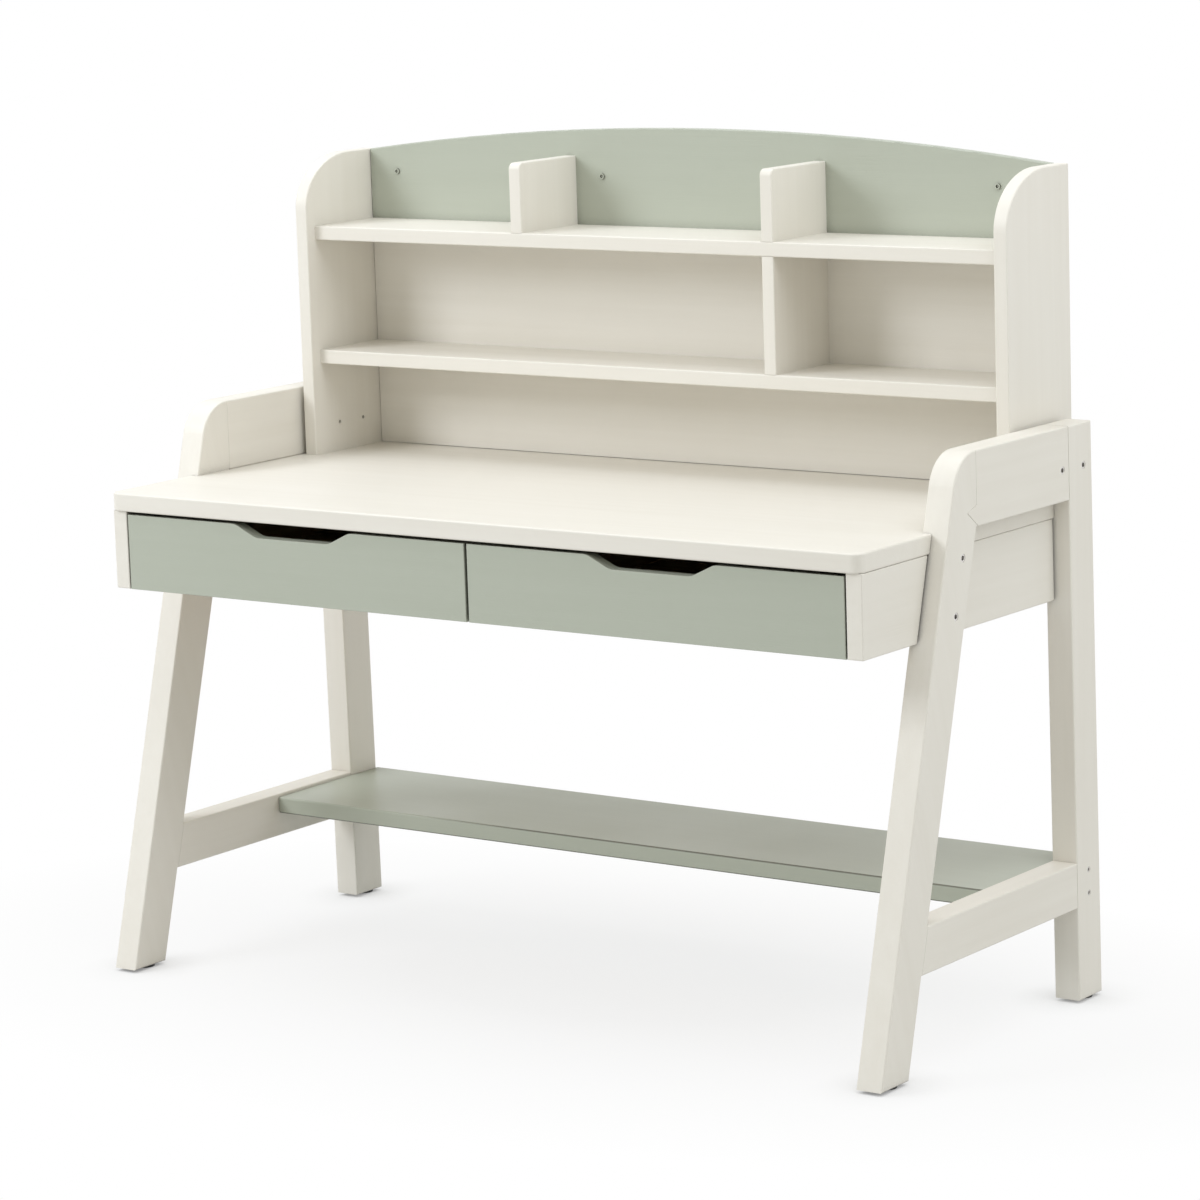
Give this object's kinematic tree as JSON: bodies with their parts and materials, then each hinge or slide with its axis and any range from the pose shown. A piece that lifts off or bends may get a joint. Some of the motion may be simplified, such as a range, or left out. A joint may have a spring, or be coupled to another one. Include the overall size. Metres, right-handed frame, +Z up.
{
  "type": "student desk with hutch",
  "caption": "Painted wood student desk on raked side frames with finger-pull drawers, a foot shelf and an open shelf hutch with an arched back.",
  "frame": {"origin": "on the floor, at the middle of the footprint", "axes": "+X across the desk to the sitter's right as seen from the front, +Y from the sitter towards the hutch, +Z up"},
  "size_m": [1.4, 0.649, 1.2659],
  "materials": {
    "cream_paint": "satin",
    "green_paint": "satin",
    "drawer_birch": "satin",
    "bare_beech": "matte",
    "fastener_steel": "satin",
    "glide_black": "matte"
  },
  "bodies": {
    "desk": {"apron_dowels": "bare_beech", "arch_screws": "fastener_steel", "arched_back": "green_paint", "back_dowels": "bare_beech", "case_bolts": "fastener_steel", "case_partition": "cream_paint", "desktop": "cream_paint", "desktop_dowels": "bare_beech", "divider_dowels": "bare_beech", "drawer_runners": "bare_beech", "drawer_stops": "bare_beech", "foot_glides": "glide_black", "foot_shelf": "green_paint", "foot_shelf_dowels": "bare_beech", "foot_shelf_screws": "fastener_steel", "hutch_bolts": "fastener_steel", "hutch_foot_screws": "fastener_steel", "hutch_spacers": "fastener_steel", "left_arm_rail": "cream_paint", "left_case_side": "cream_paint", "left_front_leg": "cream_paint", "left_hutch_side": "cream_paint", "left_rear_leg": "cream_paint", "left_stretcher": "cream_paint", "left_upper_divider": "cream_paint", "leg_pins": "fastener_steel", "lower_back": "cream_paint", "lower_back_screws": "fastener_steel", "lower_divider": "cream_paint", "middle_shelf": "cream_paint", "rail_dowels": "bare_beech", "rear_apron": "cream_paint", "rear_batten": "cream_paint", "right_arm_rail": "cream_paint", "right_case_side": "cream_paint", "right_front_leg": "cream_paint", "right_hutch_side": "cream_paint", "right_rear_leg": "cream_paint", "right_stretcher": "cream_paint", "right_upper_divider": "cream_paint", "runner_screws": "fastener_steel", "shelf_dowels": "bare_beech", "stretcher_dowels": "bare_beech", "upper_shelf": "cream_paint"},
    "left_drawer": {"left_drawer_back": "drawer_birch", "left_drawer_bottom": "drawer_birch", "left_drawer_dowels": "bare_beech", "left_drawer_front": "green_paint", "left_drawer_inner_side": "drawer_birch", "left_drawer_outer_side": "drawer_birch", "left_drawer_screws": "fastener_steel"},
    "right_drawer": {"right_drawer_back": "drawer_birch", "right_drawer_bottom": "drawer_birch", "right_drawer_dowels": "bare_beech", "right_drawer_front": "green_paint", "right_drawer_inner_side": "drawer_birch", "right_drawer_outer_side": "drawer_birch", "right_drawer_screws": "fastener_steel"}
  },
  "joints": [
    {"name": "left_drawer_slide", "type": "slide", "parent": "desk", "child": "left_drawer", "axis": [0, -1, 0], "range_m": [0, 0.3]},
    {"name": "right_drawer_slide", "type": "slide", "parent": "desk", "child": "right_drawer", "axis": [0, -1, 0], "range_m": [0, 0.3]}
  ]
}
